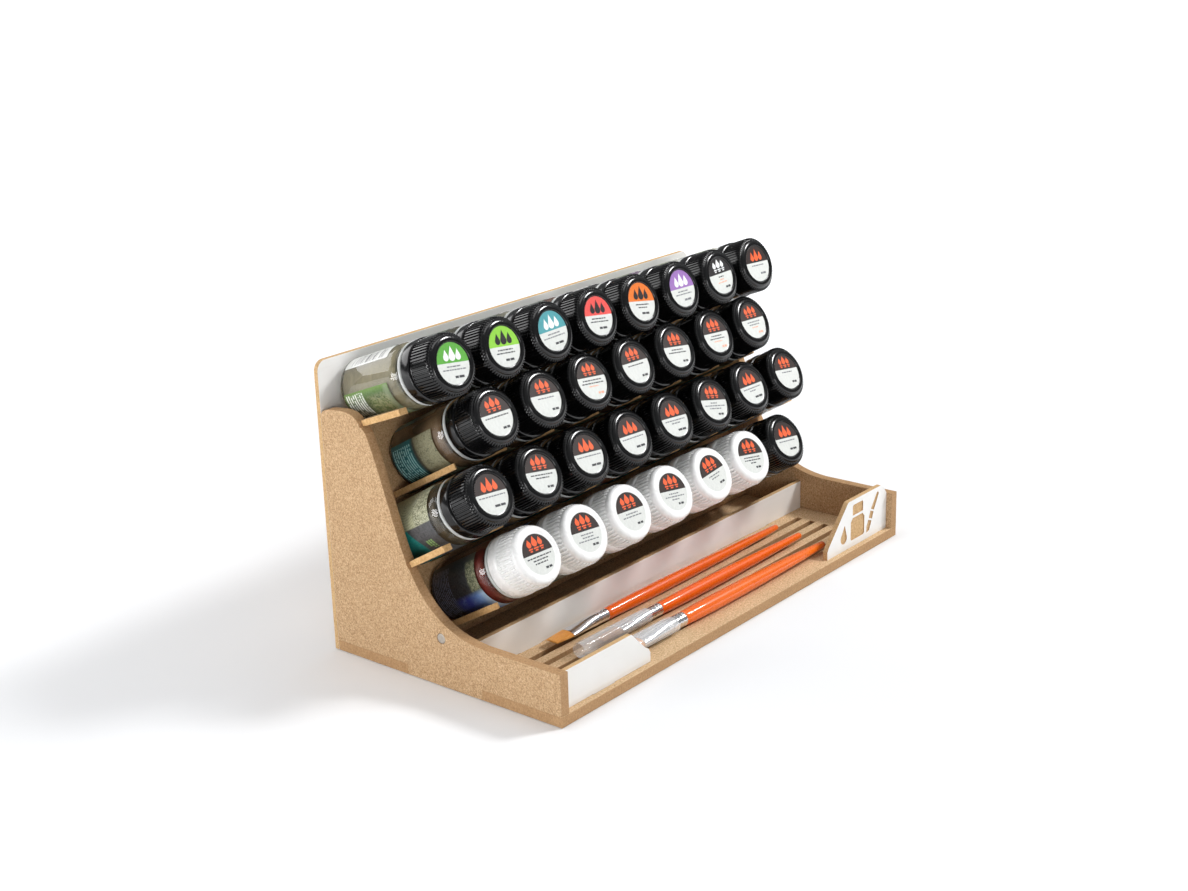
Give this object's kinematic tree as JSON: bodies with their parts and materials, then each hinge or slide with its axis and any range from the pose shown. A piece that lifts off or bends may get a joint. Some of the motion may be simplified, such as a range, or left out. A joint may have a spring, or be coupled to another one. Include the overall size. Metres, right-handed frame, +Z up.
{
  "type": "hobby paint rack",
  "caption": "Open board rack with four sloping comb shelves of screw-capped paint jars lying on their sides, above a shallow slotted tray that holds brushes",
  "frame": {"origin": "centre of the bounding box's footprint, on the surface the rack stands on", "axes": "X along the shelves from left to right, the longest extent; Y from the tray at the front to the back panel, the shortest extent; Z up"},
  "size_m": [0.33, 0.1654, 0.1861],
  "materials": {
    "raw_board": "raw fibreboard, speckled, matt, laser-cut edges slightly darker",
    "white_board": "thin fibreboard with white matt-satin face and bare tan edges",
    "jar_glass": "clear glass, polished, filled with paint",
    "black_cap": "ribbed black moulded plastic with a printed paper disc",
    "white_cap": "ribbed white translucent moulded plastic with a printed paper disc",
    "orange_lacquer": "turned wood under glossy orange lacquer",
    "ferrule": "polished, crimped",
    "bristle": "fine golden synthetic hair",
    "clear_sleeve": "clear thin tube",
    "magnet": "nickel plated"
  },
  "bodies": {
    "root": {"back_panel": "white_board", "base_plate": "raw_board", "front_plate_left": "white_board", "front_plate_right": "white_board", "magnet_left": "magnet", "magnet_right": "magnet", "shelf_row_1": "raw_board", "shelf_row_2": "raw_board", "shelf_row_3": "raw_board", "shelf_row_4": "raw_board", "side_panel_left": "raw_board", "side_panel_right": "raw_board", "sloping_board": "raw_board", "tray_divider": "white_board"},
    "jar_1_1": {"jar_1_1": "jar_glass"},
    "cap_1_1": {"cap_1_1": "black_cap"},
    "jar_1_2": {"jar_1_2": "jar_glass"},
    "jar_1_3": {"jar_1_3": "jar_glass"},
    "jar_1_4": {"jar_1_4": "jar_glass"},
    "jar_1_5": {"jar_1_5": "jar_glass"},
    "jar_1_6": {"jar_1_6": "jar_glass"},
    "jar_1_7": {"jar_1_7": "jar_glass"},
    "jar_1_8": {"jar_1_8": "jar_glass"},
    "jar_2_1": {"jar_2_1": "jar_glass"},
    "cap_2_1": {"cap_2_1": "black_cap"},
    "jar_2_2": {"jar_2_2": "jar_glass"},
    "jar_2_3": {"jar_2_3": "jar_glass"},
    "jar_2_4": {"jar_2_4": "jar_glass"},
    "jar_2_5": {"jar_2_5": "jar_glass"},
    "jar_2_6": {"jar_2_6": "jar_glass"},
    "jar_2_7": {"jar_2_7": "jar_glass"},
    "jar_3_1": {"jar_3_1": "jar_glass"},
    "cap_3_1": {"cap_3_1": "black_cap"},
    "jar_3_2": {"jar_3_2": "jar_glass"},
    "jar_3_3": {"jar_3_3": "jar_glass"},
    "jar_3_4": {"jar_3_4": "jar_glass"},
    "jar_3_5": {"jar_3_5": "jar_glass"},
    "jar_3_6": {"jar_3_6": "jar_glass"},
    "jar_3_7": {"jar_3_7": "jar_glass"},
    "jar_3_8": {"jar_3_8": "jar_glass"},
    "jar_4_1": {"jar_4_1": "jar_glass"},
    "cap_4_1": {"cap_4_1": "white_cap"},
    "jar_4_2": {"jar_4_2": "jar_glass"},
    "jar_4_3": {"jar_4_3": "jar_glass"},
    "jar_4_4": {"jar_4_4": "jar_glass"},
    "jar_4_5": {"jar_4_5": "jar_glass"},
    "jar_4_6": {"jar_4_6": "jar_glass"},
    "jar_4_7": {"jar_4_7": "jar_glass"},
    "brush_1": {"brush_1_bristles": "bristle", "brush_1_ferrule": "ferrule", "brush_1_handle": "orange_lacquer"},
    "brush_2": {"brush_2_bristles": "bristle", "brush_2_ferrule": "ferrule", "brush_2_handle": "orange_lacquer", "brush_2_sleeve": "clear_sleeve"},
    "brush_3": {"brush_3_bristles": "bristle", "brush_3_ferrule": "ferrule", "brush_3_handle": "orange_lacquer", "brush_3_sleeve": "clear_sleeve"}
  },
  "joints": [
    {"name": "lift_jar_1_1", "type": "slide", "parent": "root", "child": "jar_1_1", "axis": [0, 0, 1], "range_m": [0, 0.05]},
    {"name": "turn_cap_1_1", "type": "hinge", "parent": "jar_1_1", "child": "cap_1_1", "pos_m": [-0.13839, 0.0047, 0.1709], "axis": [0, -0.9348, 0.3551], "range_deg": [0, 540]},
    {"name": "lift_jar_1_2", "type": "slide", "parent": "root", "child": "jar_1_2", "axis": [0, 0, 1], "range_m": [0, 0.05]},
    {"name": "lift_jar_1_3", "type": "slide", "parent": "root", "child": "jar_1_3", "axis": [0, 0, 1], "range_m": [0, 0.05]},
    {"name": "lift_jar_1_4", "type": "slide", "parent": "root", "child": "jar_1_4", "axis": [0, 0, 1], "range_m": [0, 0.05]},
    {"name": "lift_jar_1_5", "type": "slide", "parent": "root", "child": "jar_1_5", "axis": [0, 0, 1], "range_m": [0, 0.05]},
    {"name": "lift_jar_1_6", "type": "slide", "parent": "root", "child": "jar_1_6", "axis": [0, 0, 1], "range_m": [0, 0.05]},
    {"name": "lift_jar_1_7", "type": "slide", "parent": "root", "child": "jar_1_7", "axis": [0, 0, 1], "range_m": [0, 0.05]},
    {"name": "lift_jar_1_8", "type": "slide", "parent": "root", "child": "jar_1_8", "axis": [0, 0, 1], "range_m": [0, 0.05]},
    {"name": "lift_jar_2_1", "type": "slide", "parent": "root", "child": "jar_2_1", "axis": [0, -0.8771, 0.4802], "range_m": [0, 0.06]},
    {"name": "turn_cap_2_1", "type": "hinge", "parent": "jar_2_1", "child": "cap_2_1", "pos_m": [-0.11862, -0.0054, 0.13965], "axis": [0, -0.8771, 0.4802], "range_deg": [0, 540]},
    {"name": "lift_jar_2_2", "type": "slide", "parent": "root", "child": "jar_2_2", "axis": [0, -0.8771, 0.4802], "range_m": [0, 0.06]},
    {"name": "lift_jar_2_3", "type": "slide", "parent": "root", "child": "jar_2_3", "axis": [0, -0.8771, 0.4802], "range_m": [0, 0.06]},
    {"name": "lift_jar_2_4", "type": "slide", "parent": "root", "child": "jar_2_4", "axis": [0, -0.8771, 0.4802], "range_m": [0, 0.06]},
    {"name": "lift_jar_2_5", "type": "slide", "parent": "root", "child": "jar_2_5", "axis": [0, -0.8771, 0.4802], "range_m": [0, 0.06]},
    {"name": "lift_jar_2_6", "type": "slide", "parent": "root", "child": "jar_2_6", "axis": [0, -0.8771, 0.4802], "range_m": [0, 0.06]},
    {"name": "lift_jar_2_7", "type": "slide", "parent": "root", "child": "jar_2_7", "axis": [0, -0.8771, 0.4802], "range_m": [0, 0.06]},
    {"name": "lift_jar_3_1", "type": "slide", "parent": "root", "child": "jar_3_1", "axis": [0, -0.866, 0.5], "range_m": [0, 0.06]},
    {"name": "turn_cap_3_1", "type": "hinge", "parent": "jar_3_1", "child": "cap_3_1", "pos_m": [-0.13839, -0.0176, 0.1042], "axis": [0, -0.866, 0.5], "range_deg": [0, 540]},
    {"name": "lift_jar_3_2", "type": "slide", "parent": "root", "child": "jar_3_2", "axis": [0, -0.866, 0.5], "range_m": [0, 0.06]},
    {"name": "lift_jar_3_3", "type": "slide", "parent": "root", "child": "jar_3_3", "axis": [0, -0.866, 0.5], "range_m": [0, 0.06]},
    {"name": "lift_jar_3_4", "type": "slide", "parent": "root", "child": "jar_3_4", "axis": [0, -0.866, 0.5], "range_m": [0, 0.06]},
    {"name": "lift_jar_3_5", "type": "slide", "parent": "root", "child": "jar_3_5", "axis": [0, -0.866, 0.5], "range_m": [0, 0.06]},
    {"name": "lift_jar_3_6", "type": "slide", "parent": "root", "child": "jar_3_6", "axis": [0, -0.866, 0.5], "range_m": [0, 0.06]},
    {"name": "lift_jar_3_7", "type": "slide", "parent": "root", "child": "jar_3_7", "axis": [0, -0.866, 0.5], "range_m": [0, 0.06]},
    {"name": "lift_jar_3_8", "type": "slide", "parent": "root", "child": "jar_3_8", "axis": [0, -0.866, 0.5], "range_m": [0, 0.06]},
    {"name": "lift_jar_4_1", "type": "slide", "parent": "root", "child": "jar_4_1", "axis": [0, -0.866, 0.5], "range_m": [0, 0.06]},
    {"name": "turn_cap_4_1", "type": "hinge", "parent": "jar_4_1", "child": "cap_4_1", "pos_m": [-0.11862, -0.0307, 0.0673], "axis": [0, -0.866, 0.5], "range_deg": [0, 540]},
    {"name": "lift_jar_4_2", "type": "slide", "parent": "root", "child": "jar_4_2", "axis": [0, -0.866, 0.5], "range_m": [0, 0.06]},
    {"name": "lift_jar_4_3", "type": "slide", "parent": "root", "child": "jar_4_3", "axis": [0, -0.866, 0.5], "range_m": [0, 0.06]},
    {"name": "lift_jar_4_4", "type": "slide", "parent": "root", "child": "jar_4_4", "axis": [0, -0.866, 0.5], "range_m": [0, 0.06]},
    {"name": "lift_jar_4_5", "type": "slide", "parent": "root", "child": "jar_4_5", "axis": [0, -0.866, 0.5], "range_m": [0, 0.06]},
    {"name": "lift_jar_4_6", "type": "slide", "parent": "root", "child": "jar_4_6", "axis": [0, -0.866, 0.5], "range_m": [0, 0.06]},
    {"name": "lift_jar_4_7", "type": "slide", "parent": "root", "child": "jar_4_7", "axis": [0, -0.866, 0.5], "range_m": [0, 0.06]},
    {"name": "lift_brush_1", "type": "slide", "parent": "root", "child": "brush_1", "axis": [0, -0.23, 0.9732], "range_m": [0, 0.03]},
    {"name": "lift_brush_2", "type": "slide", "parent": "root", "child": "brush_2", "axis": [0, -0.23, 0.9732], "range_m": [0, 0.03]},
    {"name": "lift_brush_3", "type": "slide", "parent": "root", "child": "brush_3", "axis": [0, -0.23, 0.9732], "range_m": [0, 0.03]}
  ]
}
